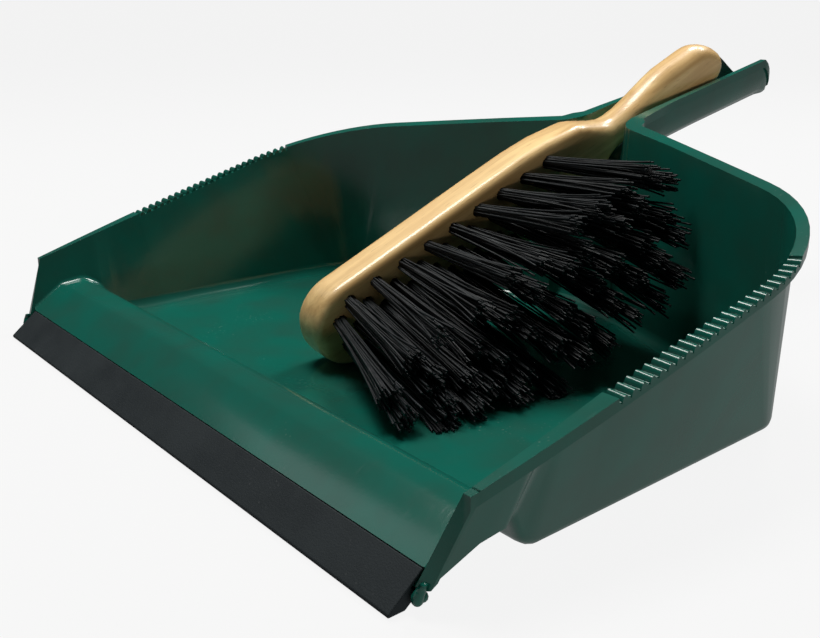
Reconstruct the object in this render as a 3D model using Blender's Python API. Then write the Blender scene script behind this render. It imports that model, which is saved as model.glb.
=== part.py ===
"""Dustpan with a rubber lip, and a wooden hand brush lying in it.

The pan is one thin plastic moulding: a ramp, a flat well, drafted walls with a
turned-down comb rim, and an open trough for a handle, in which the brush's
handle rests. The brush is one turned piece of wood with separate tufts of
bristle set in its holes. X is across the pan, Y runs from the lip to the
handle, Z is up, and the pan stands on Z = 0.
"""
import math

import bmesh
import bpy
import numpy as np
from mathutils import Matrix, Vector

# Overall sizes. Y positions are measured back from the front edge of the lip.
OVERALL_LENGTH = 0.422
PAN_WIDTH = 0.362
RIM_FRONT_HEIGHT = 0.038
RIM_SLOPE = 0.2785
HANDLE_SLOPE = 0.215
CLEARANCE = 0.0003

# Moulding of the pan
WALL = 0.0024
FOOT_INSET = 0.0210
FOOT_SPLAY = 0.0024
MOUTH_DRAFT = 0.25
BACK_SETBACK = 0.0024
RIM_OVERHANG = 0.0046
FRONT_OVERHANG = 0.0008
NOTCH_OVERHANG = 0.0075
RIM_WEB = 0.0024
RIM_BAND = 0.0046
RIM_LIP = 0.0018
HANDLE_BEAD = 0.0012
BEAD_RECESS = 0.0003
RIM_FRONT_Y = 0.0218
FRONT_INSET = 0.0067
FRONT_FLANGE = 0.0030
FLANGE_WIDTH = 0.0031
FLANGE_RISE = 0.0030
HOOK_RADIUS = 0.0020
HOOK_DROP = 0.0014
HOOK_INSET = 0.0010
CORNER_Y = 0.2167
CORNER_RADIUS = 0.082
FOOT_RADIUS = 0.022
BACK_ANGLE = math.radians(21.5)
WELL_FILLET = 0.0060
FOOT_FILLET = 0.0040
RAMP_FILLET = 0.0025
TONGUE_FILLET = 0.0003

# Ramp: heights and distances of its folds, and the hollow behind it
RAMP_FRONT = (0.0136, 0.0124)
RAMP_FOLD = (0.0300, 0.0229)
RAMP_CREST = (0.0430, 0.0243)
DROP_SHOULDER = (0.0495, 0.0205)
DROP_END = (0.0590, 0.0036)
DROP_RUNOUT = 0.0045
SKIRT_FRONT = 0.0005
SKIRT = 0.0038
SHEAR_END = 0.0660

# Rubber lip
LIP_FACE = 0.0013
LIP_EDGE = 0.0013
LIP_PAD = 0.0066
TONGUE = 0.0060

# Trough of the handle
HANDLE_HALF_WIDTH = 0.0143
HANDLE_FILLET = 0.018
TROUGH_DEPTH = 0.0210
ROOT_DEPTH = 0.0140
ROOT_LENGTH = 0.052
TROUGH_FILLET = 0.0115
TROUGH_DRAFT = 0.04
NOTCH_ROUND = 0.0030
NOTCH_LEAD = 0.0045
TIP_LENGTH = 0.017
TIP_EDGE = 0.0012
TIP_CLOSING = 0.94
TIP_FALL = 1.2
BEND_LENGTH = 0.050

# Comb ridges across the rim
RIDGE_COUNT = 24
RIDGE_START = 0.0815
RIDGE_PITCH = 0.00428
RIDGE_HEIGHT = 0.0018
RIDGE_WIDTH = 0.0028
RIDGE_PROUD = 0.0004
RIDGE_DIP = 0.0002
RIDGE_SINK = 0.0006
RIDGE_FACES = 6

# Brush: stock in its own frame, u along it from the nose, v across, n to the tufts
STOCK_LENGTH = 0.302
STOCK_THICKNESS = 0.0205
HEAD_LENGTH = 0.178
HEAD_HALF_WIDTH = 0.0215
HEEL_HALF_WIDTH = 0.0240
NECK_AT = 0.214
NECK_HALF_WIDTH = 0.0084
BULB_AT = 0.268
BULB_HALF_WIDTH = 0.0166
HANDLE_PLAY = 0.0096
SLIM_FROM = 0.1655
SLIM_BY = 0.1970
STOCK_ROUNDING = 0.0045
TAIL_FULLNESS = 1.35
NOSE_STEPS = 9
WAIST_STEPS = 6
CORNER_STEPS = 4
NOSE_SIDE = -0.0178
NOSE_HEIGHT = 0.0160
NOSE_REACH = 0.18034
STOCK_YAW = math.radians(4.4)
NECK_REST = 0.0227
STOCK_ROLL = math.radians(5.0)

# Tufts
ROW_COUNTS = (9, 10, 9, 10, 9)
ROW_SPACING = 0.0068
TUFT_PITCH = 0.0166
FIRST_TUFT = 0.0150
TUFT_RADIUS = 0.0028
HOLE_DEPTH = 0.0090
TUFT_LENGTH = 0.0880
TUFT_SPREAD = 0.0034
TUFT_SIDES = 8
FAN_FRONT = 0.26
FAN_BACK = 0.12
FAN_ACROSS = 0.12
FAN_SAG = 0.12
FAN_WALL = 0.22

HALF_WIDTH = PAN_WIDTH / 2
HANDLE_THICKNESS = 2 * HANDLE_HALF_WIDTH - HANDLE_PLAY
FOOT_HALF_WIDTH = HALF_WIDTH - FOOT_INSET
RIM_WIDTH = WALL + RIM_OVERHANG
CORNER_TURN = math.pi / 2 - BACK_ANGLE


def smoothstep(low, high, value):
    """0 below low, 1 above high, and 3t^2 - 2t^3 between them."""
    t = min(max((value - low) / (high - low), 0.0), 1.0)
    return t * t * (3.0 - 2.0 * t)


def blend(first, second, t):
    """The point t of the way from first to second."""
    return np.asarray(first, float) * (1.0 - t) + np.asarray(second, float) * t


def arc_points(start, corner, end, count):
    """Quadratic curve from start to end, rounding the corner: count + 1 points."""
    start, corner, end = (np.asarray(p, float) for p in (start, corner, end))
    steps = [i / count for i in range(count + 1)]
    return [start * (1 - t) ** 2 + corner * 2 * t * (1 - t) + end * t * t for t in steps]


def make_object(name, vertices, faces, material, parent):
    """A mesh object with outward faces, sharp edges kept above 40 degrees."""
    mesh = bpy.data.meshes.new(name)
    work = bmesh.new()
    corners = [work.verts.new(Vector(v)) for v in vertices]
    for face in faces:
        work.faces.new([corners[i] for i in face])
    bmesh.ops.remove_doubles(work, verts=work.verts, dist=1e-6)
    bmesh.ops.recalc_face_normals(work, faces=work.faces)
    work.to_mesh(mesh)
    work.free()
    mesh.shade_smooth()
    mesh.set_sharp_from_angle(angle=math.radians(40))
    mesh.materials.append(material)
    item = bpy.data.objects.new(name, mesh)
    bpy.context.collection.objects.link(item)
    item.parent = parent
    return item


def make_material(name, colour, roughness, metallic=0.0):
    """A plain Principled material."""
    material = bpy.data.materials.new(name)
    material.use_nodes = True
    shader = material.node_tree.nodes["Principled BSDF"]
    shader.inputs["Base Color"].default_value = (*colour, 1.0)
    shader.inputs["Roughness"].default_value = roughness
    shader.inputs["Metallic"].default_value = metallic
    material.diffuse_color = (*colour, 1.0)
    return material


# ---------------------------------------------------------------- the pan
# The pan is lofted from half sections. Each station holds the rim's inner edge,
# the way its wall faces, and the foot of the wall inside and outside.

def rim_height(y):
    """Height of the rim's top: two slopes joined by a parabola behind the well."""
    bend = back_corner_y()
    over = y - (bend - BEND_LENGTH / 2)
    height = RIM_FRONT_HEIGHT + RIM_SLOPE * (y - RIM_FRONT_Y)
    if over <= 0:
        return height
    change = HANDLE_SLOPE - RIM_SLOPE
    if over < BEND_LENGTH:
        return height + change * over * over / (2 * BEND_LENGTH)
    return height + change * (over - BEND_LENGTH / 2)


def corner_start():
    """Where the straight side of the rim runs into the round back corner."""
    return CORNER_Y - CORNER_RADIUS * math.tan(CORNER_TURN / 2)


def corner_point(angle):
    """Rim edge and normal on the round back corner, angle turned from the side."""
    normal = np.array([math.cos(angle), math.sin(angle)])
    centre = np.array([HALF_WIDTH - CORNER_RADIUS, corner_start()])
    return centre + normal * (CORNER_RADIUS - RIM_WIDTH), normal


def foot_point(angle):
    """Inner foot of the wall round the same corner, on its own smaller radius."""
    rim, back = corner_point(CORNER_TURN)
    radius = FOOT_RADIUS - WALL
    centre_x = FOOT_HALF_WIDTH - FOOT_RADIUS
    centre_y = (back @ rim - BACK_SETBACK - radius - back[0] * centre_x) / back[1]
    return np.array([centre_x + radius * math.cos(angle), centre_y + radius * math.sin(angle)])


def back_corner_y():
    """Where the straight back, drawn on, meets the inside of the handle."""
    x, y = corner_point(CORNER_TURN)[0]
    return y + (x - HANDLE_HALF_WIDTH) * math.tan(BACK_ANGLE)


def ramp_line():
    """Top of the ramp, the drop and the start of the well floor, as (y, z)."""
    slope = np.subtract(RAMP_FRONT, (0.0, LIP_EDGE))
    along = slope / np.linalg.norm(slope)
    out = np.array([-along[1], along[0]])
    root = np.asarray(RAMP_FRONT) - out * (LIP_FACE + CLEARANCE)
    tip = root - along * TONGUE
    floor_start = (DROP_END[0] + DROP_RUNOUT, WALL)
    middle = blend(RAMP_FOLD, RAMP_CREST, 0.5)
    crest = arc_points(blend(middle, RAMP_CREST, 0.6), RAMP_CREST,
                       blend(RAMP_CREST, DROP_SHOULDER, 0.35), 2)
    shoulder = arc_points(blend(RAMP_CREST, DROP_SHOULDER, 0.6), DROP_SHOULDER,
                          blend(DROP_SHOULDER, DROP_END, 0.25), 3)
    foot = arc_points(blend(DROP_SHOULDER, DROP_END, 0.80), DROP_END, floor_start, 3)
    return [tip, root, np.asarray(RAMP_FRONT), np.asarray(RAMP_FOLD), middle,
            *crest, *shoulder, *foot]


def offset_down(line, distance):
    """The line moved below itself by distance, mitred at its corners."""
    line = [np.asarray(p, float) for p in line]
    moved = []
    for i, point in enumerate(line):
        before = point - line[i - 1] if i else line[1] - point
        after = line[i + 1] - point if i + 1 < len(line) else before
        before, after = before / np.linalg.norm(before), after / np.linalg.norm(after)
        normal = np.array([before[1] + after[1], -(before[0] + after[0])])
        normal /= np.linalg.norm(normal)
        facing = normal @ np.array([before[1], -before[0]])
        moved.append(point + normal * distance / facing)
    return moved


def front_rim_y(foot_y):
    """Rim position over a foot near the mouth, where the wall's front edge rakes back."""
    if foot_y >= SHEAR_END:
        return foot_y
    mouth = ramp_line()[0][0]
    return RIM_FRONT_Y + (foot_y - mouth) * (SHEAR_END - RIM_FRONT_Y) / (SHEAR_END - mouth)


def rim_overhang(y):
    """How far the rim stands out from the wall: narrow at the mouth, full at the ridges."""
    share = min(max((y - RIM_FRONT_Y) / (RIDGE_START - CLEARANCE - RIM_FRONT_Y), 0.0), 1.0)
    return FRONT_OVERHANG + (RIM_OVERHANG - FRONT_OVERHANG) * share


def side_inner_x(y):
    """Inner rim edge of the slightly bowed side wall."""
    reach = (corner_start() - y) / (corner_start() - RIM_FRONT_Y)
    return HALF_WIDTH - WALL - rim_overhang(y) - FRONT_INSET * reach * reach


def foot_inner_x(y):
    """Inner foot of the side wall, which splays a little towards the mouth."""
    reach = (corner_start() - y) / (corner_start() - SHEAR_END)
    return FOOT_HALF_WIDTH - WALL + FOOT_SPLAY * min(reach, 1.0)


def station(rim, normal, inner, outer, fillet, **options):
    """One half section: rim edge (x, y), wall normal, wall feet (x, y, z), fillet."""
    data = dict(rim=np.asarray(rim, float), normal=np.asarray(normal, float),
                inner=np.asarray(inner, float), outer=np.asarray(outer, float),
                fillet=fillet, under_fillet=fillet + WALL,
                overhang=RIM_OVERHANG, recess=RIM_BAND - RIM_WEB,
                drop=0.0, skirt=0.0, skirted=0.0, flanged=False, height=None)
    data.update(options)
    return data


def mouth_stations():
    """From the lip's tongue over the ramp and down into the well."""
    top = ramp_line()
    spine = [p for i, p in enumerate(top) if i != 2]
    under = offset_down(spine, WALL)
    under.insert(2, under[1] + (under[2] - under[1]) * 0.02)
    under[-1] = np.array([top[-1][0], 0.0])
    pairs = list(zip(top, under))
    flange_back = blend(top[0], top[1], FRONT_FLANGE / TONGUE)
    flange_under = blend(under[0], under[1], FRONT_FLANGE / TONGUE)
    step = (top[1] - top[0]) / np.linalg.norm(top[1] - top[0]) * CLEARANCE
    pairs[1:1] = [(flange_back, flange_under), (flange_back + step, flange_under + step)]
    stations = []
    for number, (upper, lower) in enumerate(pairs):
        rim_y = front_rim_y(upper[0])
        rim_x = side_inner_x(rim_y)
        well = smoothstep(RAMP_CREST[0], top[-1][0], upper[0])
        raked_x = rim_x - MOUTH_DRAFT * (rim_height(rim_y) - upper[1])
        foot_x = raked_x + (foot_inner_x(upper[0]) - raked_x) * well
        climb = (upper[0] - top[1][0]) / (RAMP_FOLD[0] - top[1][0])
        skirt = SKIRT_FRONT + (SKIRT - SKIRT_FRONT) * min(max(climb, 0.0), 1.0)
        skirted = 1.0 - smoothstep(RAMP_CREST[0], DROP_SHOULDER[0], upper[0])
        stations.append(station(
            (rim_x, rim_y), (1.0, 0.0), (foot_x, *upper), (foot_x + WALL, *lower),
            TONGUE_FILLET if number < 4 else RAMP_FILLET + (WELL_FILLET - RAMP_FILLET) * well,
            under_fillet=FOOT_FILLET, overhang=rim_overhang(rim_y),
            skirt=skirt * skirted, skirted=skirted, flanged=number < 2))
    return stations


def well_station(rim, normal, foot, drop=0.0):
    """A section of the well, whose wall stands on the flat floor."""
    foot, normal = np.asarray(foot, float), np.asarray(normal, float)
    outer = foot + normal * WALL
    return station(rim, normal, (*foot, WALL), (*outer, 0.0), WELL_FILLET,
                   under_fillet=FOOT_FILLET, overhang=rim_overhang(rim[1]), drop=drop)


def side_stations(first_y, count=4):
    """The straight side of the well, with a step down where the ridges start."""
    places = [((first_y + RIDGE_START) / 2, 0.0), (RIDGE_START - CLEARANCE, 0.0)]
    spacing = (corner_start() - RIDGE_START) / count
    places += [(RIDGE_START + spacing * k, RIDGE_HEIGHT) for k in range(count)]
    stations = []
    for y, drop in places:
        share = (y - SHEAR_END) / (corner_start() - SHEAR_END)
        foot = (foot_inner_x(y), y + (foot_point(0.0)[1] - corner_start()) * share)
        stations.append(well_station((side_inner_x(y), y), (1.0, 0.0), foot, drop))
    return stations


def ridge_end_angle():
    """How far round the corner the ridges go."""
    run = RIDGE_PITCH * RIDGE_COUNT - (corner_start() - RIDGE_START)
    return run / (CORNER_RADIUS - RIM_WIDTH / 2)


def corner_stations(count=12):
    """The round back corner, stepping up again behind the last ridge."""
    last = ridge_end_angle()
    step = CLEARANCE / CORNER_RADIUS
    spacing = CORNER_TURN / count
    angles = [spacing * k for k in range(count + 1)]
    angles = [a for a in angles if abs(a - last) > spacing / 3] + [last, last + step]
    return [well_station(*corner_point(a), foot_point(a), RIDGE_HEIGHT if a <= last else 0.0)
            for a in sorted(angles)]


def fillet_point(angle):
    """Rim edge and normal on the hollow fillet between the back and the handle."""
    normal = np.array([math.cos(angle), math.sin(angle)])
    tangent = HANDLE_FILLET * math.tan(CORNER_TURN / 2)
    centre = np.array([HANDLE_HALF_WIDTH + HANDLE_FILLET, back_corner_y() + tangent])
    return centre - normal * HANDLE_FILLET, normal


def trough_floor(y):
    """Inner floor of the handle's trough, which deepens on a parabola at its root."""
    near = min(max(1.0 - (y - back_corner_y()) / ROOT_LENGTH, 0.0), 1.2)
    return rim_height(y) - TROUGH_DEPTH - ROOT_DEPTH * near * near


def back_stations(count=3):
    """The straight back, up to the handle's fillet."""
    start, normal = corner_point(CORNER_TURN)
    end = fillet_point(CORNER_TURN)[0]
    stations = []
    for k in range(1, count + 1):
        foot = blend(foot_point(CORNER_TURN), end - normal * BACK_SETBACK, k / count)
        stations.append(well_station(blend(start, end, k / count), normal, foot))
    return stations


def notch_stations():
    """The fillet, where the floor line climbs the back wall into the trough."""
    first = back_stations()[-1]
    foot = first["inner"]
    base = foot[1] - first["normal"][1] * WELL_FILLET
    end_y = fillet_point(0.0)[0][1]
    wall_y = foot[1] + NOTCH_LEAD
    lean = BACK_SETBACK / rim_height(first["rim"][1])
    rise = trough_floor(wall_y) - WALL
    notch_y = wall_y + lean * rise
    notch = (notch_y, trough_floor(notch_y))
    back = blend((wall_y, WALL), notch, 1.0 - NOTCH_ROUND / rise * 2)
    ahead = blend(notch, (end_y, trough_floor(end_y)), 0.3)
    climb = arc_points((base, WALL), (wall_y, WALL), blend((wall_y, WALL), notch, 0.14), 3)[1:]
    climb += [blend((wall_y, WALL), notch, t) for t in (0.40, 0.68)]
    climb += arc_points(back, notch, ahead, 3)
    climb += [np.array([end_y, trough_floor(end_y)])]
    under = offset_down([(base, WALL)] + climb, WALL)[1:]
    stations = []
    for k, (upper, lower) in enumerate(zip(climb, under), start=1):
        share = k / len(climb)
        rim, normal = fillet_point(CORNER_TURN * (1.0 - share))
        fillet = WELL_FILLET * (1.0 - smoothstep(0.0, 0.3, share)) + 0.0010
        fillet += (TROUGH_FILLET - 0.0010) * smoothstep(0.6, 1.0, share)
        draft = lean + (TROUGH_DRAFT - lean) * share
        foot_x = rim[0] - normal[0] * draft * (rim_height(rim[1]) - upper[1])
        inner = (foot_x, upper[0] + normal[1] * fillet, upper[1])
        outer = (foot_x + WALL, lower[0] + normal[1] * (fillet + WALL), max(lower[1], 0.0))
        under_fillet = FOOT_FILLET + (fillet + WALL - FOOT_FILLET) * smoothstep(0.0, 0.5, share)
        flare = (NOTCH_OVERHANG - RIM_OVERHANG) * math.sin(math.pi * share)
        stations.append(station(rim, normal, inner, outer, fillet, under_fillet=under_fillet,
                                overhang=RIM_OVERHANG + flare))
    return stations


def handle_stations(count=4):
    """The straight trough; the rim's overhang fades to a small bead."""
    start = fillet_point(0.0)[0][1]
    end = OVERALL_LENGTH - TIP_LENGTH
    stations = []
    for k in range(1, count + 1):
        y = start + (end - start) * k / count
        stations.append(trough_station(y, HANDLE_HALF_WIDTH, rim_height(y), HANDLE_BEAD))
    stations[0:0] = [trough_station(start + t * (end - start) / count, HANDLE_HALF_WIDTH,
                                    rim_height(start + t * (end - start) / count),
                                    RIM_OVERHANG + (HANDLE_BEAD - RIM_OVERHANG) * t)
                     for t in (0.33, 0.67)]
    return stations


def trough_station(y, half_width, height, overhang):
    """A U section of the handle with its rim at the given height."""
    floor = trough_floor(y)
    foot = half_width - TROUGH_DRAFT * (height - floor)
    fillet = min(TROUGH_FILLET, 0.8 * foot)
    recess = (RIM_BAND - RIM_WEB) * (overhang - HANDLE_BEAD) / (RIM_OVERHANG - HANDLE_BEAD)
    return station((half_width, y), (1.0, 0.0), (foot, y, floor), (foot + WALL, y, floor - WALL),
                   fillet, overhang=overhang, height=height, recess=max(recess, BEAD_RECESS))


def tip_stations(count=7):
    """The open, rounded end of the trough: the rims fall to the floor as it narrows."""
    stations = []
    start = OVERALL_LENGTH - TIP_LENGTH
    for k in range(1, count + 1):
        v = math.sin(math.pi / 2 * TIP_CLOSING * k / count)
        y = start + TIP_LENGTH * v / math.sin(math.pi / 2 * TIP_CLOSING)
        floor = trough_floor(y)
        half_width = HANDLE_HALF_WIDTH * math.sqrt(1.0 - v * v)
        height = floor + TIP_EDGE + (TROUGH_DEPTH - TIP_EDGE) * (1.0 - v ** TIP_FALL)
        stations.append(trough_station(y, half_width, height, HANDLE_BEAD))
    return stations


def half_section(data):
    """The 16 points of a half section, from the underside's middle round to the floor's."""
    normal = np.array([*data["normal"], 0.0])
    rim_height_here = data["height"] or rim_height(data["rim"][1])
    inner_top = np.array([*data["rim"], rim_height_here])
    inner, outer, fillet = data["inner"], data["outer"], data["fillet"]
    wall_height = inner_top[2] - inner[2]
    up = (inner_top - inner) / wall_height
    fillet = min(fillet, 0.8 * wall_height)
    inner_arc = arc_points(inner + up * fillet, inner, inner - normal * fillet, 3)

    outer_top = inner_top + normal * WALL
    outer_up = (outer_top - outer) / (outer_top[2] - outer[2])
    bottom_fillet = min(data["under_fillet"], 0.8 * (outer_top[2] - RIM_BAND - outer[2]))
    bottom_fillet = max(bottom_fillet, fillet * 0.5)
    arc = arc_points(outer + outer_up * bottom_fillet, outer,
                     outer - normal * bottom_fillet, 3)
    skirt_inner = outer - normal * WALL
    down = np.array([0.0, 0.0, -data["skirt"]])
    skirt = [outer + down, skirt_inner + down, skirt_inner, skirt_inner - normal * fillet]
    foot = [a * (1.0 - data["skirted"]) + s * data["skirted"] for a, s in zip(arc, skirt)]

    def at(offset, y_shift_height):
        point = inner_top + normal * offset
        top = data["height"] or rim_height(point[1])
        return np.array([point[0], point[1], top - y_shift_height])

    edge = WALL + data["overhang"]
    band = min(RIM_BAND, 0.5 * (outer_top[2] - outer[2]))
    web = band - min(data["recess"], band * 0.5)
    lip = max(edge - RIM_LIP, WALL + BEAD_RECESS)
    if data["flanged"]:
        foot[0] = foot[0] + normal * FLANGE_WIDTH + [0.0, 0.0, FLANGE_RISE]
        face = [blend(at(edge, band), foot[0], t) for t in (0.6, 0.4, 0.2)]
    else:
        face = [at(WALL, web), at(lip, web), at(lip, band)]
    rim = [*face, at(edge, band), at(edge, data["drop"]), at(0.0, data["drop"])]
    under_middle = np.array([0.0, foot[3][1], foot[3][2]])
    floor_middle = np.array([0.0, inner_arc[3][1], inner_arc[3][2]])
    return [under_middle, *foot[::-1], *rim, *inner_arc, floor_middle]


def build_pan(material, parent):
    """Loft the half sections, mirror them, cap both ends and add the ridges."""
    stations = mouth_stations()
    stations += side_stations(stations[-1]["inner"][1])
    stations += corner_stations() + back_stations() + notch_stations()
    stations += handle_stations() + tip_stations()
    sections = [half_section(s) for s in stations]
    size = len(sections[0])
    vertices, faces = [], []
    for side in (1.0, -1.0):
        base = len(vertices)
        for section in sections:
            vertices += [(side * p[0], p[1], p[2]) for p in section]
        for i in range(len(sections) - 1):
            for j in range(size - 1):
                a = base + i * size + j
                faces.append((a, a + 1, a + size + 1, a + size))
        for start in (base, base + (len(sections) - 1) * size):
            for j in range(4):
                faces.append((start + j, start + j + 1,
                              start + size - 2 - j, start + size - 1 - j))
            faces.append(tuple(start + j for j in range(4, size - 4)))
    pan = make_object("dustpan_body", vertices, faces, material, parent)
    for guide in (build_ridges(material, parent), build_hooks(material, parent)):
        join = pan.modifiers.new(guide.name, 'BOOLEAN')
        join.operation = 'UNION'
        join.solver = 'EXACT'
        join.object = guide
    return pan


def build_hooks(material, parent):
    """A round nub under each front flange, behind the end of the lip."""
    first = mouth_stations()[0]
    x = first["outer"][0] - HOOK_INSET
    z = first["outer"][2] - HOOK_DROP
    y = first["outer"][1]
    vertices, faces = [], []
    for side in (1.0, -1.0):
        ball = bmesh.new()
        place = Matrix.Translation((side * x, y, z))
        bmesh.ops.create_icosphere(ball, subdivisions=2, radius=HOOK_RADIUS, matrix=place)
        base = len(vertices)
        vertices += [tuple(v.co) for v in ball.verts]
        faces += [tuple(base + v.index for v in face.verts) for face in ball.faces]
        ball.free()
    hooks = make_object("hook_guide", vertices, faces, material, parent)
    hooks.hide_render = True
    hooks.display_type = 'WIRE'
    return hooks


def ridge_place(number):
    """Rim edge and normal under one ridge, stepping along the rim."""
    run = RIDGE_PITCH * (number + 0.5)
    straight = corner_start() - RIDGE_START
    if run < straight:
        y = RIDGE_START + run
        return np.array([side_inner_x(y), y]), np.array([1.0, 0.0])
    return corner_point((run - straight) / (CORNER_RADIUS - RIM_WIDTH / 2))


def build_ridges(material, parent):
    """Half-round bars across the rim on both sides, as one hidden union shape."""
    vertices, faces = [], []
    for side in (1.0, -1.0):
        for number in range(RIDGE_COUNT):
            place, normal = ridge_place(number)
            along = np.array([-normal[1], normal[0]])
            rings = []
            for offset in (RIDGE_DIP, RIM_WIDTH + RIDGE_PROUD):
                ring = []
                for k in range(RIDGE_FACES + 1):
                    angle = math.pi * k / RIDGE_FACES
                    swing = RIDGE_WIDTH / 2 * math.cos(angle)
                    spot = place + normal * offset + along * swing
                    rise = (RIDGE_HEIGHT + RIDGE_DIP) * (math.sin(angle) - 1.0)
                    ring.append((side * spot[0], spot[1], rim_height(spot[1]) + rise))
                for swing in (-1, 1):
                    spot = place + normal * offset + along * swing * RIDGE_WIDTH / 2
                    floor = rim_height(spot[1]) - RIDGE_HEIGHT - RIDGE_SINK
                    ring.append((side * spot[0], spot[1], floor))
                rings.append(ring)
            size, base = len(rings[0]), len(vertices)
            vertices += rings[0] + rings[1]
            faces.append(tuple(range(base, base + size)))
            faces.append(tuple(range(base + size, base + 2 * size)))
            for k in range(size):
                after = (k + 1) % size
                faces.append((base + k, base + after, base + size + after, base + size + k))
    ridges = make_object("ridge_guide", vertices, faces, material, parent)
    ridges.hide_render = True
    ridges.display_type = 'WIRE'
    return ridges


# ------------------------------------------------------------- the rubber lip

def build_lip(material, parent):
    """A wedge of rubber along the mouth, slotted over the pan's tongue."""
    along = np.subtract(RAMP_FRONT, (0.0, LIP_EDGE))
    along /= np.linalg.norm(along)
    out = np.array([-along[1], along[0]])
    rear = np.asarray(RAMP_FRONT) - along * CLEARANCE
    slot_mouth = rear - out * LIP_FACE
    slot_end = slot_mouth - along * (TONGUE + 2 * CLEARANCE)
    slot_under = slot_end - out * (WALL + 2 * CLEARANCE)
    under_mouth = slot_under + along * TONGUE
    heel = under_mouth - out * LIP_FACE
    outline = [(0.0, 0.0), (0.0, LIP_EDGE), rear, slot_mouth, slot_end, slot_under,
               under_mouth, heel, (LIP_PAD, 0.0)]
    mouth = mouth_stations()
    reach = min(s["inner"][0] for s in mouth[:4]) - TONGUE_FILLET - CLEARANCE
    vertices = [(side * reach, *p) for side in (-1.0, 1.0) for p in outline]
    size = len(outline)
    faces = [tuple(range(size)), tuple(range(size, 2 * size))]
    faces += [(k, (k + 1) % size, size + (k + 1) % size, size + k) for k in range(size)]
    return make_object("rubber_lip", vertices, faces, material, parent)


# ---------------------------------------------------------------- the brush

def stock_half_width(u):
    """Half width of the stock: a full head, a waist for the fingers, a round bulb."""
    stops = [(0.0, HEAD_HALF_WIDTH), (HEAD_LENGTH * 0.85, HEEL_HALF_WIDTH),
             (HEAD_LENGTH, HEEL_HALF_WIDTH * 0.86), (NECK_AT, NECK_HALF_WIDTH),
             (BULB_AT, BULB_HALF_WIDTH), (STOCK_LENGTH, BULB_HALF_WIDTH)]
    for (start, low), (end, high) in zip(stops, stops[1:]):
        if u <= end:
            return low + (high - low) * smoothstep(start, end, u)
    return BULB_HALF_WIDTH


def stock_ring(u):
    """One section of the stock: a rounded rectangle, rounder towards the handle."""
    width = stock_half_width(u)
    nose = HEAD_HALF_WIDTH
    tail = BULB_HALF_WIDTH * TAIL_FULLNESS
    if u < nose:
        width *= math.sqrt(max(1.0 - (1.0 - u / nose) ** 2, 0.0))
    if u > STOCK_LENGTH - tail:
        width *= math.sqrt(max(1.0 - (1.0 - (STOCK_LENGTH - u) / tail) ** 2, 0.0))
    handle = smoothstep(HEAD_LENGTH, NECK_AT, u)
    slim = smoothstep(SLIM_FROM, SLIM_BY, u)
    depth = (STOCK_THICKNESS + (HANDLE_THICKNESS - STOCK_THICKNESS) * slim) / 2
    end = min(u, STOCK_LENGTH - u)
    if end < STOCK_ROUNDING:
        depth -= STOCK_ROUNDING * (1.0 - math.sqrt(1.0 - (1.0 - end / STOCK_ROUNDING) ** 2))
    return width, depth, handle


def stock_section(u):
    """The ring's points (v, n): corners rounded by arcs that grow on the handle."""
    width, depth, handle = stock_ring(u)
    radius = STOCK_ROUNDING + (depth * 0.85 - STOCK_ROUNDING) * handle
    radius = min(radius, 0.9 * width, 0.9 * depth)
    points = []
    for quarter in range(4):
        corner_v = (width - radius) * (1 if quarter in (0, 3) else -1)
        corner_n = (depth - radius) * (1 if quarter in (0, 1) else -1)
        for k in range(CORNER_STEPS + 1):
            angle = math.pi / 2 * (quarter + k / CORNER_STEPS)
            points.append((corner_v + radius * math.cos(angle),
                           corner_n + radius * math.sin(angle)))
    return points


def build_stock(material, parent):
    """Loft the stock along its length, then drill the tuft holes."""
    turns = [math.pi / 2 * (k + 0.8) / (NOSE_STEPS + 0.8) for k in range(NOSE_STEPS + 1)]
    nose = [HEAD_HALF_WIDTH * (1.0 - math.cos(a)) for a in turns]
    body = [HEAD_LENGTH * t for t in (0.4, 0.65, 0.8, 0.9, 1.0)]
    waist = [HEAD_LENGTH + (NECK_AT - HEAD_LENGTH) * k / WAIST_STEPS
             for k in range(1, WAIST_STEPS + 1)]
    bulb = [NECK_AT + (BULB_AT - NECK_AT) * k / WAIST_STEPS for k in range(1, WAIST_STEPS)]
    tail = [STOCK_LENGTH - BULB_HALF_WIDTH * TAIL_FULLNESS * (1.0 - math.cos(a))
            for a in reversed(turns)]
    stations = nose + body + waist + bulb + tail
    vertices = [(v, n, u) for u in stations for v, n in stock_section(u)]
    size = len(stock_section(0.1))
    faces = [tuple(range(size)), tuple(range(len(vertices) - size, len(vertices)))]
    for i in range(len(stations) - 1):
        for j in range(size):
            a, b = i * size + j, i * size + (j + 1) % size
            faces.append((a, b, b + size, a + size))
    stock = make_object("brush_stock", vertices, faces, material, parent)
    holes = build_holes(material, parent)
    drill = stock.modifiers.new("tuft_holes", 'BOOLEAN')
    drill.operation = 'DIFFERENCE'
    drill.solver = 'EXACT'
    drill.object = holes
    return stock


def tuft_roots():
    """Each tuft's row, root (v, u), lean (along, across) and share of the row's length."""
    roots = []
    middle = (len(ROW_COUNTS) - 1) / 2
    longest = max(ROW_COUNTS)
    for row, count in enumerate(ROW_COUNTS):
        v = (middle - row) * ROW_SPACING
        for number in range(count):
            u = FIRST_TUFT + (number + (longest - count) / 2) * TUFT_PITCH
            front = 1.0 - (u - FIRST_TUFT) / (TUFT_PITCH * (longest - 1))
            along = FAN_BACK - (FAN_FRONT + FAN_BACK) * front * front
            along -= FAN_WALL * (1.0 - front) * row / (len(ROW_COUNTS) - 1)
            across = FAN_ACROSS * (middle - row) / middle - FAN_SAG * front
            roots.append((row, v, u, along, across, 1.0 - front))
    return roots


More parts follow.
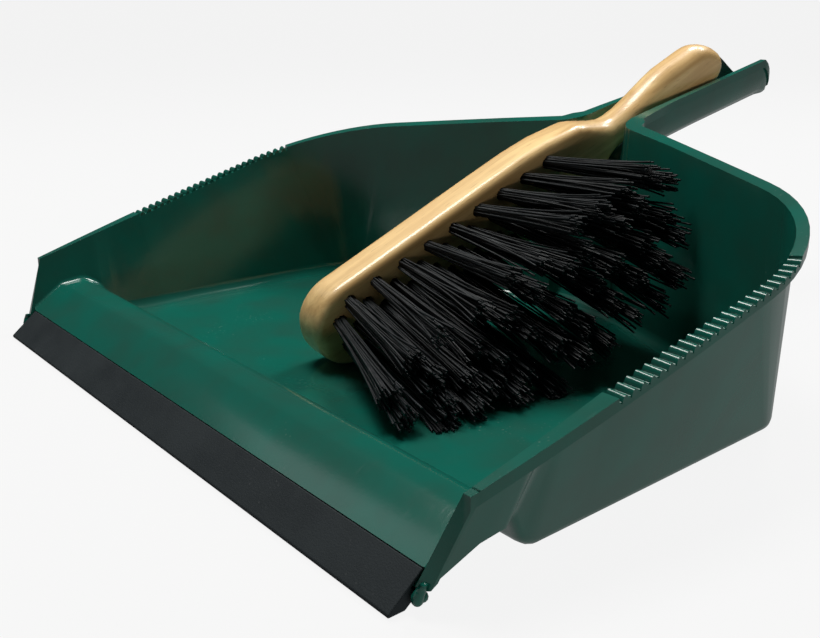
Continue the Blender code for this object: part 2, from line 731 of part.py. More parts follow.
def tube(rings, sides):
    """Vertices and faces of a closed tube through rings (centre, radius)."""
    vertices, faces = [], []
    for centre, radius in rings:
        for k in range(sides):
            angle = 2 * math.pi * k / sides
            vertices.append((centre[0] + radius * math.cos(angle), centre[1],
                             centre[2] + radius * math.sin(angle)))
    last = (len(rings) - 1) * sides
    faces += [tuple(range(sides)), tuple(range(last, last + sides))]
    for i in range(len(rings) - 1):
        for k in range(sides):
            a, b = i * sides + k, i * sides + (k + 1) % sides
            faces.append((a, b, b + sides, a + sides))
    return vertices, faces


def build_holes(material, parent):
    """The drilled holes, as one hidden cutter."""
    vertices, faces = [], []
    face_n = STOCK_THICKNESS / 2
    for _, v, u, *_ in tuft_roots():
        rings = [((v, face_n - HOLE_DEPTH, u), TUFT_RADIUS + CLEARANCE),
                 ((v, face_n + HOLE_DEPTH, u), TUFT_RADIUS + CLEARANCE)]
        hole_vertices, hole_faces = tube(rings, TUFT_SIDES)
        base = len(vertices)
        vertices += hole_vertices
        faces += [tuple(base + i for i in face) for face in hole_faces]
    holes = make_object("hole_guide", vertices, faces, material, parent)
    holes.hide_render = True
    holes.display_type = 'WIRE'
    return holes


def tuft_tip(v, u, along, across):
    """Tip of a tuft before anything bends it."""
    lean = np.array([across, 1.0, along])
    root = np.array([v, STOCK_THICKNESS / 2, u])
    return root + lean / np.linalg.norm(lean) * TUFT_LENGTH


def row_crowding(place):
    """How far each row's last tip has to come forward to stay off the back wall."""
    rim, normal = corner_point(CORNER_TURN)
    back = Vector((*normal, 0.0))
    furthest = normal @ rim - BACK_SETBACK - TUFT_SPREAD - 2 * CLEARANCE
    crowding = [0.0] * len(ROW_COUNTS)
    for row, v, u, along, across, share in tuft_roots():
        over = back @ (place @ Vector(tuft_tip(v, u, along, across))) - furthest
        if over > 0.0 and share > 0.0:
            crowding[row] = max(crowding[row], over / share / (back @ place.col[2].xyz))
    return crowding


def build_tufts(material, parent):
    """One closed solid for each tuft, bent off the pan's floor and back wall."""
    face_n = STOCK_THICKNESS / 2
    place = brush_matrix()
    gap = TUFT_SPREAD + CLEARANCE
    crowding = row_crowding(place)
    for number, (row, v, u, along, across, share) in enumerate(tuft_roots(), start=1):
        tip = tuft_tip(v, u, along, across)
        tip[2] -= crowding[row] * share
        lowest = WALL + CLEARANCE + gap * (len(ROW_COUNTS) - row)
        tip[0] += max(lowest - (place @ Vector(tip)).z, 0.0) / place.col[0].z
        rings = [((v, face_n - HOLE_DEPTH + CLEARANCE, u), TUFT_RADIUS),
                 ((v, face_n, u), TUFT_RADIUS), (tuple(tip), TUFT_SPREAD)]
        vertices, faces = tube(rings, TUFT_SIDES)
        make_object(f"tuft_{number:02d}", vertices, faces, material, parent)


# ---------------------------------------------------------------- assembly

def stock_rise():
    """Slope of the stock, whose neck rests in the mouth of the pan's trough."""
    climb = trough_floor(back_corner_y()) + NECK_REST - NOSE_HEIGHT
    return math.atan2(climb, NOSE_REACH / math.cos(STOCK_YAW))


def brush_matrix():
    """Place of the brush: its columns are the v, n and u directions."""
    rise = stock_rise()
    u = Vector((math.sin(STOCK_YAW) * math.cos(rise),
                math.cos(STOCK_YAW) * math.cos(rise), math.sin(rise)))
    side = u.cross(Vector((0.0, 0.0, 1.0))).normalized()
    up = side.cross(u)
    n = side * math.cos(STOCK_ROLL) - up * math.sin(STOCK_ROLL)
    v = up * math.cos(STOCK_ROLL) + side * math.sin(STOCK_ROLL)
    place = Matrix((v, n, u)).transposed().to_4x4()
    place.translation = Vector((NOSE_SIDE, back_corner_y() - NOSE_REACH, NOSE_HEIGHT))
    return place


def make_empty(name, parent=None):
    empty = bpy.data.objects.new(name, None)
    bpy.context.collection.objects.link(empty)
    empty.parent = parent
    return empty


def build():
    for item in list(bpy.data.objects):
        bpy.data.objects.remove(item, do_unlink=True)
    plastic = make_material("green_plastic", (0.010, 0.115, 0.078), 0.28)
    rubber = make_material("black_rubber", (0.020, 0.024, 0.028), 0.70)
    wood = make_material("varnished_beech", (0.62, 0.36, 0.14), 0.32)
    bristle = make_material("black_bristle", (0.008, 0.009, 0.010), 0.45)
    ground = make_empty("dustpan_and_brush")
    ground.location = (0.0, -OVERALL_LENGTH / 2, 0.0)
    build_pan(plastic, ground)
    build_lip(rubber, ground)
    brush = make_empty("brush_axis", ground)
    brush.matrix_local = brush_matrix()
    build_stock(wood, brush)
    build_tufts(bristle, brush)


build()
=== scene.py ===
"""Dustpan with a rubber lip and a wooden hand brush lying in its trough."""
import math

import bpy
import numpy as np
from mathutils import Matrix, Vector


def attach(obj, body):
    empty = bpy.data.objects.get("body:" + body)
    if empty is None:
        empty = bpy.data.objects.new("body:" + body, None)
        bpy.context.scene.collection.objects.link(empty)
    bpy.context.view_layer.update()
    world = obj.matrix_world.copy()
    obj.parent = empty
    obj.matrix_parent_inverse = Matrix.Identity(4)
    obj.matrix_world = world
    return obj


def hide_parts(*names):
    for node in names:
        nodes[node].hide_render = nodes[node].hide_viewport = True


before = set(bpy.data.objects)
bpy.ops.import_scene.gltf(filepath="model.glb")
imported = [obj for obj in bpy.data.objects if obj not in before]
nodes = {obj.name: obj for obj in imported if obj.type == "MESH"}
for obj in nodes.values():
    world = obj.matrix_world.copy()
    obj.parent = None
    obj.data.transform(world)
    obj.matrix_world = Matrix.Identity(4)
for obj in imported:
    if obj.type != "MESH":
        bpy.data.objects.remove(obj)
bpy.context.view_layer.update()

# ------------------------------------------------------------------ the stage
# A pale seamless floor under broad soft lamps. The floor gives off a little
# light of its own, so that shadows on it stay faint.
scene = bpy.context.scene
scene.view_settings.view_transform = "Standard"

camera = bpy.data.objects.new("camera", bpy.data.cameras.new("camera"))
camera.data.sensor_width = 36.0
camera.data.lens = 43.9
camera.location = (0.3632, -0.3667, 0.1785)
camera.rotation_euler = (math.radians(90.0 - 18.40), 0.0, math.radians(50.68))
scene.collection.objects.link(camera)
scene.camera = camera

# What the floor gives off: towards the camera, to the pieces, and the extra in reflections.
SEEN_GLOW, FLOOR_FILL, GLOSSY_GAIN = 0.89, 0.22, 0.10
FLOOR_HALF, FLOOR_DROP = 40, 0.0006
floor_mesh = bpy.data.meshes.new("floor")
floor_mesh.from_pydata([(x * FLOOR_HALF, y * FLOOR_HALF, 0) for x, y in ((-1, -1), (1, -1), (1, 1), (-1, 1))],
                       [], [(0, 1, 2, 3)])
floor = bpy.data.objects.new("floor", floor_mesh)
floor.location.z = -FLOOR_DROP
scene.collection.objects.link(floor)
floor_material = bpy.data.materials.new("pale_floor")
floor_material.use_nodes = True
floor_tree = floor_material.node_tree
floor_shader = floor_tree.nodes["Principled BSDF"]
floor_shader.inputs["Base Color"].default_value = (0.035, 0.035, 0.035, 1.0)
floor_shader.inputs["Roughness"].default_value = 1.0
floor_shader.inputs["Specular IOR Level"].default_value = 0.0
floor_shader.inputs["Emission Color"].default_value = (1.0, 1.0, 1.0, 1.0)
seen = floor_tree.nodes.new("ShaderNodeLightPath")
sheen = floor_tree.nodes.new("ShaderNodeMath")
sheen.operation = "MULTIPLY_ADD"
sheen.inputs[1].default_value = GLOSSY_GAIN
sheen.inputs[2].default_value = FLOOR_FILL
floor_tree.links.new(seen.outputs["Is Glossy Ray"], sheen.inputs[0])
glow = floor_tree.nodes.new("ShaderNodeMapRange")
glow.inputs["To Max"].default_value = SEEN_GLOW
floor_tree.links.new(seen.outputs["Is Camera Ray"], glow.inputs["Value"])
floor_tree.links.new(sheen.outputs[0], glow.inputs["To Min"])
floor_tree.links.new(glow.outputs["Result"], floor_shader.inputs["Emission Strength"])
floor_mesh.materials.append(floor_material)

world = bpy.data.worlds.new("world")
world.use_nodes = True
world.node_tree.nodes["Background"].inputs["Color"].default_value = (0.92, 0.96, 1.0, 1.0)
world.node_tree.nodes["Background"].inputs["Strength"].default_value = 0.03
scene.world = world

for name, place, target, size, power, tint in [
        ("overhead_lamp", (-0.36, -0.10, 1.28), (0.0, 0.0, 0.0), (0.52, 0.60), 17.0, (1.0, 0.99, 0.96)),
        ("key_lamp", (-0.30, 0.83, 1.22), (0.0, 0.0, 0.0), (0.26, 0.26), 9.0, (1.0, 0.99, 0.96)),
        ("left_panel", (-0.93, -0.53, 1.04), (0.1, -0.2, 0.0), (0.36, 0.50), 0.6, (0.95, 0.98, 1.0)),
        ("back_lamp", (0.05, 1.00, 1.05), (0.0, 0.0, 0.0), (0.50, 0.14), 4.0, (0.90, 0.97, 1.0)),
        ("low_lamp", (1.10, -0.25, 0.025), (0.0, 0.0, 0.03), (1.0, 0.05), 2.8, (1.0, 0.97, 0.92))]:
    lamp = bpy.data.lights.new(name, "AREA")
    lamp.shape = "RECTANGLE"
    lamp.size, lamp.size_y = size
    lamp.energy = power
    lamp.color = tint
    holder = bpy.data.objects.new(name, lamp)
    holder.location = place
    holder.rotation_euler = (Vector(target) - Vector(place)).to_track_quat("-Z", "Y").to_euler()
    holder.visible_glossy = name != "low_lamp"
    scene.collection.objects.link(holder)


# ------------------------------------------------------------------ effects
# Two effects for the moulded pieces: dust that settles on faces that look up,
# on the plastic and the rubber, and fine scuffs left by use, on the plastic.

def add_node(tree, kind, inputs=(), **settings):
    """A node of the given kind with its settings, values and incoming links."""
    node = tree.nodes.new(kind)
    for key, value in settings.items():
        setattr(node, key, value)
    for key, value in dict(inputs).items():
        if isinstance(value, bpy.types.NodeSocket):
            tree.links.new(value, node.inputs[key])
        else:
            node.inputs[key].default_value = value
    return node


def ramp(tree, factor, low, high, dark=0.0, light=1.0):
    """factor between low and high, spread to run from dark to light."""
    return add_node(tree, "ShaderNodeMapRange", {
        "Value": factor, "From Min": low, "From Max": high, "To Min": dark, "To Max": light}
    ).outputs["Result"]


def new_group(name, inputs, outputs):
    """A node group with named sockets and its input and output nodes."""
    group = bpy.data.node_groups.new(name, "ShaderNodeTree")
    for label, kind, value in inputs:
        socket = group.interface.new_socket(label, in_out="INPUT", socket_type=kind)
        if value is not None:
            socket.default_value = value
    for label, kind in outputs:
        group.interface.new_socket(label, in_out="OUTPUT", socket_type=kind)
    return group, group.nodes.new("NodeGroupInput"), group.nodes.new("NodeGroupOutput")


dust, dust_in, dust_out = new_group(
    "settled_dust",
    [("Position", "NodeSocketVector", None), ("Density", "NodeSocketFloat", 0.5)],
    [("Amount", "NodeSocketFloat")])
specks = add_node(dust, "ShaderNodeTexVoronoi",
                  {"Vector": dust_in.outputs["Position"], "Scale": 420.0, "Randomness": 1.0})
patches = add_node(dust, "ShaderNodeTexNoise",
                   {"Vector": dust_in.outputs["Position"], "Scale": 26.0, "Detail": 4.0})
facing = add_node(dust, "ShaderNodeSeparateXYZ",
                  {0: add_node(dust, "ShaderNodeNewGeometry").outputs["Normal"]})
grain = ramp(dust, specks.outputs["Distance"], 0.22, 0.05)
where = ramp(dust, patches.outputs["Fac"], 0.56, 0.74)
upward = ramp(dust, facing.outputs["Z"], 0.55, 0.95)
spread = add_node(dust, "ShaderNodeMath", {0: grain, 1: where}, operation="MULTIPLY")
settled = add_node(dust, "ShaderNodeMath", {0: spread.outputs[0], 1: upward}, operation="MULTIPLY")
thinned = add_node(dust, "ShaderNodeMath",
                   {0: settled.outputs[0], 1: dust_in.outputs["Density"]}, operation="MULTIPLY")
dust.links.new(thinned.outputs[0], dust_out.inputs["Amount"])

scuff, scuff_in, scuff_out = new_group(
    "fine_scuffs",
    [("Position", "NodeSocketVector", None), ("Strength", "NodeSocketFloat", 1.0)],
    [("Roughness Change", "NodeSocketFloat"), ("Height", "NodeSocketFloat")])
stretched = add_node(scuff, "ShaderNodeMapping",
                     {"Vector": scuff_in.outputs["Position"], "Rotation": (0.0, 0.0, 0.35),
                      "Scale": (900.0, 60.0, 260.0)})
lines = add_node(scuff, "ShaderNodeTexNoise",
                 {"Vector": stretched.outputs[0], "Scale": 1.0, "Detail": 3.0})
clouds = add_node(scuff, "ShaderNodeTexNoise",
                  {"Vector": scuff_in.outputs["Position"], "Scale": 34.0, "Detail": 5.0})
worn = add_node(scuff, "ShaderNodeMath",
                {0: ramp(scuff, lines.outputs["Fac"], 0.60, 0.74),
                 1: ramp(scuff, clouds.outputs["Fac"], 0.42, 0.66)}, operation="MULTIPLY")
change = add_node(scuff, "ShaderNodeMath",
                  {0: worn.outputs[0], 1: scuff_in.outputs["Strength"]}, operation="MULTIPLY")
scuff.links.new(change.outputs[0], scuff_out.inputs["Roughness Change"])
scuff.links.new(change.outputs[0], scuff_out.inputs["Height"])


# ------------------------------------------------------------------ the pan
# One moulding of glossy green plastic. Its faces carry the faint waviness of a
# large thin moulding, fine scuffs from sweeping and a few specks of dust.

def welded(node, name, sharp_angle):
    """The CAD node as one connected surface: equal corners joined, smooth up to the angle."""
    source = nodes[node].data
    places = np.empty(len(source.vertices) * 3, np.float32)
    source.vertices.foreach_get("co", places)
    source.calc_loop_triangles()
    corners = np.empty(len(source.loop_triangles) * 3, np.int32)
    source.loop_triangles.foreach_get("vertices", corners)
    places = places.reshape(-1, 3)
    _, first, joined = np.unique(np.round(places / 2e-6).astype(np.int64), axis=0,
                                 return_index=True, return_inverse=True)
    faces = joined.reshape(-1)[corners].reshape(-1, 3)
    kept = (faces[:, 0] != faces[:, 1]) & (faces[:, 1] != faces[:, 2]) & (faces[:, 2] != faces[:, 0])
    mesh = bpy.data.meshes.new(name)
    mesh.from_pydata(places[first].tolist(), [], faces[kept].tolist())
    mesh.shade_smooth()
    mesh.set_sharp_from_angle(angle=math.radians(sharp_angle))
    piece = bpy.data.objects.new(name, mesh)
    scene.collection.objects.link(piece)
    return piece


def new_material(name):
    """A node material with no nodes in it yet."""
    material = bpy.data.materials.new(name)
    material.use_nodes = True
    material.node_tree.nodes.clear()
    return material


def mix_colour(tree, factor, first, second):
    """The colour factor of the way from first to second."""
    node = tree.nodes.new("ShaderNodeMix")
    node.data_type = "RGBA"
    for slot, value in ((0, factor), (6, first), (7, second)):
        if isinstance(value, bpy.types.NodeSocket):
            tree.links.new(value, node.inputs[slot])
        elif slot == 0:
            node.inputs[slot].default_value = value
        else:
            node.inputs[slot].default_value = (*value, 1.0)
    return node.outputs[2]


pan = welded("dustpan_body", "pan_moulding", 40.0)
RAMP_FOLD = (-0.1810, 0.0229)

# The fold between ramp and well stays a sharp line.
edge_ends = np.empty(len(pan.data.edges) * 2, np.int32)
pan.data.edges.foreach_get("vertices", edge_ends)
spots = np.empty(len(pan.data.vertices) * 3, np.float32)
pan.data.vertices.foreach_get("co", spots)
on_fold = np.abs(spots.reshape(-1, 3)[:, 1:] - RAMP_FOLD).max(axis=1) < 5e-5
crease = np.empty(len(pan.data.edges), bool)
pan.data.attributes["sharp_edge"].data.foreach_get("value", crease)
crease |= on_fold[edge_ends.reshape(-1, 2)].all(axis=1)
pan.data.attributes["sharp_edge"].data.foreach_set("value", crease)

# Round the back the rim's inner edge moves out, along the plan normal of the rim,
# so that the rim shows narrower there than along the ridged sides. The top of the
# inner wall face moves with it, so the wall gets thinner towards the rim.
RIM_REACH, SIDE_END, CORNER, BACK_TURN = 0.0070, 0.1613, 0.082, math.radians(68.5)
TROUGH_HALF, TROUGH_ROUND, NARROWING = 0.0143, 0.018, 0.0021
PAN_HALF, HALF_LENGTH = 0.181, 0.211
RIM_START, RIM_START_HEIGHT, RIM_SLOPE, HANDLE_SLOPE = 0.0218, 0.038, 0.2785, 0.215
SLOPE_BLEND, NARROWING_START, NARROWING_END = 0.05, 0.05, 0.03

places = spots.reshape(-1, 3).astype(float)
across, back = np.abs(places[:, 0]), places[:, 1] + HALF_LENGTH
centre = np.array([PAN_HALF - CORNER, SIDE_END])
turn_x, turn_y = across - centre[0], back - centre[1]
angle = np.clip(np.arctan2(turn_y, turn_x), 0.0, BACK_TURN)
normal = np.stack([np.cos(angle), np.sin(angle)], axis=1)
off = turn_x * normal[:, 0] + turn_y * normal[:, 1] - (CORNER - RIM_REACH)
rim_level = RIM_START_HEIGHT + RIM_SLOPE * (back - RIM_START)
bend = SIDE_END + (CORNER - RIM_REACH) * math.sin(BACK_TURN) + (
    centre[0] + (CORNER - RIM_REACH) * math.cos(BACK_TURN) - TROUGH_HALF) * math.tan(math.pi / 2 - BACK_TURN)
over = back - (bend - SLOPE_BLEND / 2)
slope_change = HANDLE_SLOPE - RIM_SLOPE
rim_level += np.where(over > SLOPE_BLEND, slope_change * (over - SLOPE_BLEND / 2),
                      np.where(over > 0, slope_change * np.maximum(over, 0) ** 2 / (2 * SLOPE_BLEND), 0.0))
inner_edge = (np.abs(off) < 0.0005) & (places[:, 2] > rim_level - 0.0030) & (
    back > SIDE_END - NARROWING_START)
start = np.clip((back - (SIDE_END - NARROWING_START)) / NARROWING_START, 0.0, 1.0)
fade = np.clip((across - TROUGH_HALF - TROUGH_ROUND) / NARROWING_END, 0.0, 1.0)
move = np.where(inner_edge, NARROWING * start * start * (3 - 2 * start) * fade, 0.0)
places[:, 0] += np.sign(places[:, 0]) * normal[:, 0] * move
places[:, 1] += normal[:, 1] * move
pan.data.vertices.foreach_set("co", places.ravel().astype(np.float32))
pan.data.update()
rounding = pan.modifiers.new("moulded_edges", "BEVEL")
rounding.width = 0.00035
rounding.segments = 2
rounding.limit_method = "ANGLE"
rounding.angle_limit = math.radians(48.0)
rounding.use_clamp_overlap = True
flatten = pan.modifiers.new("even_shading", "WEIGHTED_NORMAL")
flatten.keep_sharp = True
flatten.weight = 60

plastic = new_material("glossy_green_plastic")
tree = plastic.node_tree
place = add_node(tree, "ShaderNodeTexCoord").outputs["Object"]
mottle = add_node(tree, "ShaderNodeTexNoise", {"Vector": place, "Scale": 34.0, "Detail": 3.0,
                                               "Roughness": 0.5})
tint = mix_colour(tree, ramp(tree, mottle.outputs["Fac"], 0.38, 0.66),
                  (0.0050, 0.104, 0.076), (0.0120, 0.084, 0.062))
wear = tree.nodes.new("ShaderNodeGroup")
wear.node_tree = scuff
tree.links.new(place, wear.inputs["Position"])
wear.inputs["Strength"].default_value = 0.35
powder = tree.nodes.new("ShaderNodeGroup")
powder.node_tree = dust
tree.links.new(place, powder.inputs["Position"])
powder.inputs["Density"].default_value = 0.22
colour = mix_colour(tree, powder.outputs["Amount"], tint, (0.55, 0.55, 0.52))
rough = add_node(tree, "ShaderNodeMath", {0: wear.outputs["Roughness Change"], 1: 0.25, 2: 0.165},
                 operation="MULTIPLY_ADD")
texture = add_node(tree, "ShaderNodeTexNoise", {"Vector": place, "Scale": 900.0, "Detail": 2.0})
waviness = add_node(tree, "ShaderNodeTexNoise", {"Vector": place, "Scale": 14.0, "Detail": 1.0})
height = add_node(tree, "ShaderNodeMath", {0: waviness.outputs["Fac"], 1: 12.0,
                                           2: texture.outputs["Fac"]}, operation="MULTIPLY_ADD")
relief = add_node(tree, "ShaderNodeBump", {"Height": height.outputs[0], "Strength": 0.05,
                                           "Distance": 0.0003})
shader = add_node(tree, "ShaderNodeBsdfPrincipled", {
    "Base Color": colour, "Roughness": rough.outputs[0], "Normal": relief.outputs["Normal"]})
shader.inputs["Specular IOR Level"].default_value = 0.5
end = tree.nodes.new("ShaderNodeOutputMaterial")
tree.links.new(shader.outputs[0], end.inputs["Surface"])
pan.data.materials.append(plastic)
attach(pan, "dustpan")
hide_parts("dustpan_body")

# ------------------------------------------------------------------ the nubs
# Each front flange ends in a small rounded nub that curls under it. It is part
# of the same plastic moulding. Its surface is a circle carried down a short
# path, with a radius for each place on the path, closed by a shrinking end.
NUB_PATH = np.array([(0.1668, -0.2005, 0.0098), (0.1662, -0.2012, 0.0076), (0.1655, -0.2017, 0.0056),
                     (0.1652, -0.2017, 0.0040)])
NUB_RADII = np.array([0.0012, 0.0017, 0.0021, 0.0020])
NUB_SIDES, END_RADIUS = 16, 0.0020
nub_turn = np.linspace(0.0, 2 * math.pi, NUB_SIDES, endpoint=False)
end_drop = np.array([0.45, 0.8])
nub_centres = np.vstack([NUB_PATH, NUB_PATH[-1] - [[0, 0, END_RADIUS * drop] for drop in end_drop]])
nub_radii = np.concatenate([NUB_RADII, END_RADIUS * np.sqrt(1 - end_drop ** 2)])
nub_rings = nub_centres[:, None] + nub_radii[:, None, None] * np.stack(
    [np.cos(nub_turn), np.sin(nub_turn), 0 * nub_turn], axis=1)[None]
nub_size, nub_count = len(nub_turn), len(nub_centres)
row_at, around = np.meshgrid(np.arange(nub_count - 1) * nub_size, np.arange(nub_size), indexing="ij")
next_one = (around + 1) % nub_size
nub_quads = np.stack([row_at + around, row_at + next_one, row_at + nub_size + next_one,
                      row_at + nub_size + around], axis=-1).reshape(-1, 4)
nub_caps = [list(range(nub_size)), list(range((nub_count - 1) * nub_size, nub_count * nub_size))[::-1]]
for label, side in (("left", -1.0), ("right", 1.0)):
    nub_mesh = bpy.data.meshes.new("flange_nub_" + label)
    turned = nub_quads[:, ::-1] if side > 0 else nub_quads
    caps = [cap if side < 0 else cap[::-1] for cap in nub_caps]
    nub_mesh.from_pydata((nub_rings.reshape(-1, 3) * [side, 1, 1]).tolist(), [],
                         turned.tolist() + caps)
    nub_mesh.shade_smooth()
    nub_mesh.materials.append(plastic)
    nub = bpy.data.objects.new("flange_nub_" + label, nub_mesh)
    scene.collection.objects.link(nub)
    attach(nub, "dustpan")

# ------------------------------------------------------------------ the lip
# A strip of black rubber pushed onto the tongue of the ramp. Its surface is
# dull and faintly grained, with small grey marks of wear.
lip = welded("rubber_lip", "rubber_strip", 30.0)
edges = lip.modifiers.new("soft_edges", "BEVEL")
edges.width = 0.0005
edges.segments = 3
edges.limit_method = "ANGLE"
edges.harden_normals = True

rubber = new_material("dull_black_rubber")
tree = rubber.node_tree
place = add_node(tree, "ShaderNodeTexCoord").outputs["Object"]
bloom = add_node(tree, "ShaderNodeTexNoise", {"Vector": place, "Scale": 38.0, "Detail": 7.0,
                                              "Roughness": 0.65})
tint = mix_colour(tree, ramp(tree, bloom.outputs["Fac"], 0.35, 0.70),
                  (0.0150, 0.0205, 0.0235), (0.0240, 0.0310, 0.0345))
powder = tree.nodes.new("ShaderNodeGroup")
powder.node_tree = dust
tree.links.new(place, powder.inputs["Position"])
powder.inputs["Density"].default_value = 0.35
colour = mix_colour(tree, powder.outputs["Amount"], tint, (0.30, 0.30, 0.30))
pores = add_node(tree, "ShaderNodeTexNoise", {"Vector": place, "Scale": 1500.0, "Detail": 3.0})
relief = add_node(tree, "ShaderNodeBump", {"Height": pores.outputs["Fac"], "Strength": 0.35,
                                           "Distance": 0.0003})
shader = add_node(tree, "ShaderNodeBsdfPrincipled", {
    "Base Color": colour, "Roughness": ramp(tree, bloom.outputs["Fac"], 0.3, 0.7, 0.62, 0.80),
    "Normal": relief.outputs["Normal"]})
shader.inputs["Specular IOR Level"].default_value = 0.22
end = tree.nodes.new("ShaderNodeOutputMaterial")
tree.links.new(shader.outputs[0], end.inputs["Surface"])
lip.data.materials.append(rubber)
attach(lip, "dustpan")
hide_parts("rubber_lip")

# ------------------------------------------------------------------ the stock
# One piece of beech, shaped with a flat head and a round grip, drilled for the
# tufts and varnished. The grain runs along it, so each point keeps its place in
# the stock's own frame: across, towards the tufts, and along.
# The nose is the frame's origin, and the tufts leave the face STOCK_FACE from it.
NOSE = np.array([-0.0178, -0.1165, 0.0160])
YAW, RISE, ROLL = math.radians(4.4), math.radians(23.8), math.radians(5.0)
STOCK_FACE = 0.01025

along = np.array([math.sin(YAW) * math.cos(RISE), math.cos(YAW) * math.cos(RISE), math.sin(RISE)])
level = np.cross(along, [0.0, 0.0, 1.0])
level /= np.linalg.norm(level)
upright = np.cross(level, along)
brush_axes = np.array([upright * math.cos(ROLL) + level * math.sin(ROLL),
                       level * math.cos(ROLL) - upright * math.sin(ROLL), along])


def in_brush(places):
    """Places in the stock's frame: across, towards the tufts, along from the nose."""
    return (np.asarray(places) - NOSE) @ brush_axes.T


def corner_places(mesh):
    """All of a mesh's corners as one array."""
    places = np.empty(len(mesh.vertices) * 3, np.float32)
    mesh.vertices.foreach_get("co", places)
    return places.reshape(-1, 3)


stock = welded("brush_stock", "beech_stock", 38.0)
flatten = stock.modifiers.new("even_shading", "WEIGHTED_NORMAL")
flatten.keep_sharp = True
grain_place = stock.data.attributes.new("grain_place", "FLOAT_VECTOR", "POINT")
grain_place.data.foreach_set("vector", in_brush(corner_places(stock.data)).ravel().astype(np.float32))

beech = new_material("varnished_beech_wood")
tree = beech.node_tree
place = add_node(tree, "ShaderNodeAttribute", attribute_name="grain_place").outputs["Vector"]
long_way = add_node(tree, "ShaderNodeMapping", {"Vector": place, "Scale": (150.0, 150.0, 7.0)})
figure = add_node(tree, "ShaderNodeTexNoise", {"Vector": long_way.outputs[0], "Scale": 1.0,
                                               "Detail": 6.0, "Roughness": 0.62, "Distortion": 0.4})
flecks_way = add_node(tree, "ShaderNodeMapping", {"Vector": place, "Scale": (1500.0, 1500.0, 120.0)})
flecks = add_node(tree, "ShaderNodeTexNoise", {"Vector": flecks_way.outputs[0], "Scale": 1.0,
                                               "Detail": 2.0})
broad = add_node(tree, "ShaderNodeTexNoise", {"Vector": place, "Scale": 30.0, "Detail": 2.0})
tint = mix_colour(tree, ramp(tree, figure.outputs["Fac"], 0.32, 0.68),
                  (0.60, 0.36, 0.140), (0.93, 0.66, 0.300))
tint = mix_colour(tree, ramp(tree, broad.outputs["Fac"], 0.35, 0.65, 0.0, 0.35),
                  tint, (0.66, 0.38, 0.140))
tint = mix_colour(tree, ramp(tree, flecks.outputs["Fac"], 0.63, 0.76, 0.0, 0.5),
                  tint, (0.30, 0.14, 0.05))
relief = add_node(tree, "ShaderNodeBump", {"Height": flecks.outputs["Fac"], "Strength": 0.12,
                                           "Distance": 0.0002})
shader = add_node(tree, "ShaderNodeBsdfPrincipled", {
    "Base Color": tint, "Roughness": ramp(tree, figure.outputs["Fac"], 0.3, 0.7, 0.34, 0.46),
    "Normal": relief.outputs["Normal"], "Coat Weight": 0.45})
shader.inputs["Coat Roughness"].default_value = 0.16
end = tree.nodes.new("ShaderNodeOutputMaterial")
tree.links.new(shader.outputs[0], end.inputs["Surface"])
stock.data.materials.append(beech)
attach(stock, "brush")
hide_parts("brush_stock")

# ------------------------------------------------------------------ the tufts
# Bundles of stiff black plastic bristles, folded and stapled at the bottom of
# their holes. They leave a hole tightly packed and splay towards cut tips.
BRISTLES_PER_TUFT = 38
BRISTLE_RADIUS = 0.00050
BRISTLE_SIDES = 5
BRISTLE_RINGS = 8
PACKED_RADIUS = 0.0029
SPLAY = 0.0056
SPLAY_POWER = 2.4
IN_HOLE = 0.006
UPPER_TRIM = 0.72
CLUMP_SHIFT = np.array([0.0016, 0.0, 0.0022])
PAST_TIP, UNEVEN_CUT, CUT_VARIES = 0.0025, 0.0022, 0.6
STRAY, BOW, TIP_SWELL = 0.0012, 0.0006, 1.15
PAN_FLOOR = 0.0024
luck = np.random.default_rng(12)


def tuft_ends(name):
    """Root and tip of a tuft in the stock's frame, from the ends of its CAD solid."""
    places = in_brush(corner_places(nodes[name].data))
    tip_level = places[:, 1].max()
    tip = places[np.abs(places[:, 1] - tip_level) < 1e-5]
    root = places[np.abs(places[:, 1] - STOCK_FACE) < 1e-4]
    return (root.max(0) + root.min(0)) / 2, (tip.max(0) + tip.min(0)) / 2


tufts = sorted(name for name in nodes if name.startswith("tuft_"))
ends = np.array([tuft_ends(name) for name in tufts])
# The upper rows are drawn shorter than their CAD solids, down to UPPER_TRIM.
across = ends[:, 0, 0] * np.sign(brush_axes[0, 2])
trim = np.interp(across, [across.min(), across.max()], [1.0, UPPER_TRIM])[:, None]
ends[:, 1] = ends[:, 0] + (ends[:, 1] - ends[:, 0]) * trim
clumps = luck.normal(0.0, 1.0, (len(tufts), 3)) * CLUMP_SHIFT
ends[:, 1] += clumps
count = len(tufts) * BRISTLES_PER_TUFT
roots = np.repeat(ends[:, 0], BRISTLES_PER_TUFT, axis=0)
tips = np.repeat(ends[:, 1], BRISTLES_PER_TUFT, axis=0)
turn = luck.uniform(0.0, 2 * math.pi, count)
reach = np.sqrt(luck.uniform(0.0, 1.0, count))
disc = np.stack([reach * np.cos(turn), np.zeros(count), reach * np.sin(turn)], axis=1)
stray = luck.normal(0.0, 1.0, (count, 3)) * [1.0, 0.35, 1.0]
starts = roots + disc * PACKED_RADIUS - [0.0, IN_HOLE, 0.0]
length = np.linalg.norm(tips - roots, axis=1, keepdims=True)
finish = tips + disc * PACKED_RADIUS * TIP_SWELL + (tips - roots) / length * (
    PAST_TIP + UNEVEN_CUT * luck.normal(0.0, CUT_VARIES, (count, 1)))
spread = disc * (SPLAY - PACKED_RADIUS) + stray * STRAY
bow = luck.normal(0.0, BOW, (count, 3)) * [1.0, 0.0, 1.0]

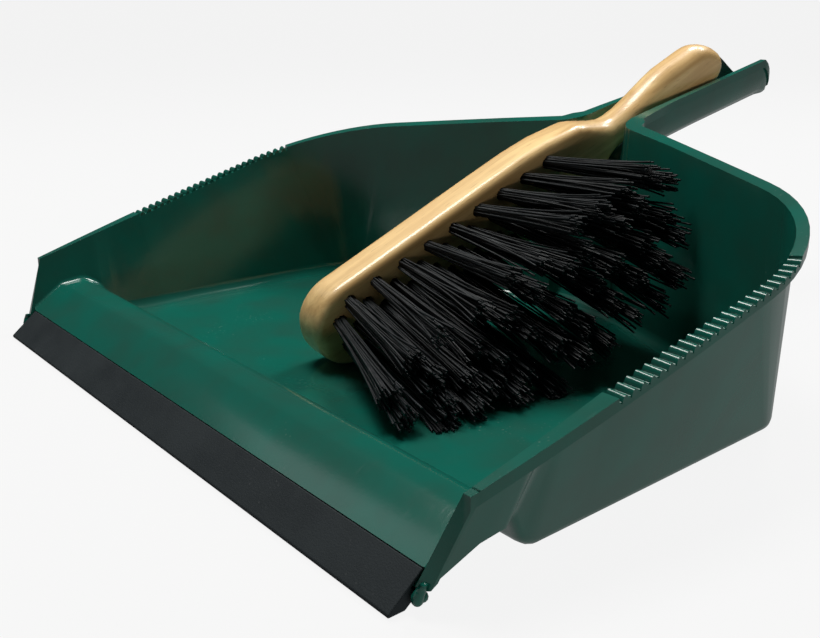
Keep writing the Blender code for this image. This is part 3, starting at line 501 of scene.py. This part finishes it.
# A bristle runs straight from its place in the hole to its cut tip, plus a bow that
# is greatest half-way and a splay that grows as a power of the way along.
t = np.linspace(0.0, 1.0, BRISTLE_RINGS)[None, :, None]
paths = starts[:, None] * (1 - t) + finish[:, None] * t + bow[:, None] * 4 * t * (1 - t) + (
    spread[:, None] * t ** SPLAY_POWER)
centres = paths @ brush_axes + NOSE
centres[:, :, 2] = np.maximum(centres[:, :, 2], PAN_FLOOR + BRISTLE_RADIUS + 0.0002)

direction = np.gradient(centres, axis=1)
direction /= np.linalg.norm(direction, axis=2, keepdims=True)
side = np.cross(direction, [0.0, 0.0, 1.0])
side /= np.linalg.norm(side, axis=2, keepdims=True)
other = np.cross(direction, side)
angle = np.linspace(0.0, 2 * math.pi, BRISTLE_SIDES, endpoint=False)
ring = (side[:, :, None] * np.cos(angle)[None, None, :, None]
        + other[:, :, None] * np.sin(angle)[None, None, :, None]) * BRISTLE_RADIUS
vertices = (centres[:, :, None] + ring).reshape(-1, 3)

strand = np.arange(count)[:, None, None] * BRISTLE_RINGS * BRISTLE_SIDES
step = np.arange(BRISTLE_RINGS - 1)[None, :, None] * BRISTLE_SIDES
around = np.arange(BRISTLE_SIDES)[None, None, :]
after = (around + 1) % BRISTLE_SIDES
quads = np.stack([strand + step + around, strand + step + after,
                  strand + step + BRISTLE_SIDES + after,
                  strand + step + BRISTLE_SIDES + around], axis=-1).reshape(-1, 4)
caps = np.concatenate([
    (strand[:, 0] + np.arange(BRISTLE_SIDES)[None, ::-1]),
    (strand[:, 0] + (BRISTLE_RINGS - 1) * BRISTLE_SIDES + np.arange(BRISTLE_SIDES)[None, :])])
mesh = bpy.data.meshes.new("bristle_tufts")
mesh.from_pydata(vertices.tolist(), [], quads[:, ::-1].tolist() + caps[:, ::-1].tolist())
mesh.shade_smooth()
mesh.set_sharp_from_angle(angle=math.radians(75))
tone = mesh.attributes.new("tone", "FLOAT", "POINT")
tone.data.foreach_set("value", np.repeat(luck.uniform(0.0, 1.0, count),
                                         BRISTLE_RINGS * BRISTLE_SIDES).astype(np.float32))
bristles = bpy.data.objects.new("bristle_tufts", mesh)
scene.collection.objects.link(bristles)

nylon = new_material("black_nylon_bristle")
tree = nylon.node_tree
tone_value = add_node(tree, "ShaderNodeAttribute", attribute_name="tone").outputs["Fac"]
place = add_node(tree, "ShaderNodeTexCoord").outputs["Object"]
film = add_node(tree, "ShaderNodeTexNoise", {"Vector": place, "Scale": 220.0, "Detail": 3.0})
tint = mix_colour(tree, tone_value, (0.0024, 0.0036, 0.0048), (0.0100, 0.0135, 0.0160))
tint = mix_colour(tree, ramp(tree, film.outputs["Fac"], 0.55, 0.75, 0.0, 0.4), tint,
                  (0.016, 0.018, 0.019))
shader = add_node(tree, "ShaderNodeBsdfPrincipled", {
    "Base Color": tint, "Roughness": ramp(tree, film.outputs["Fac"], 0.3, 0.7, 0.38, 0.56)})
shader.inputs["Specular IOR Level"].default_value = 0.32
end = tree.nodes.new("ShaderNodeOutputMaterial")
tree.links.new(shader.outputs[0], end.inputs["Surface"])
mesh.materials.append(nylon)
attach(bristles, "brush")
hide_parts(*tufts)
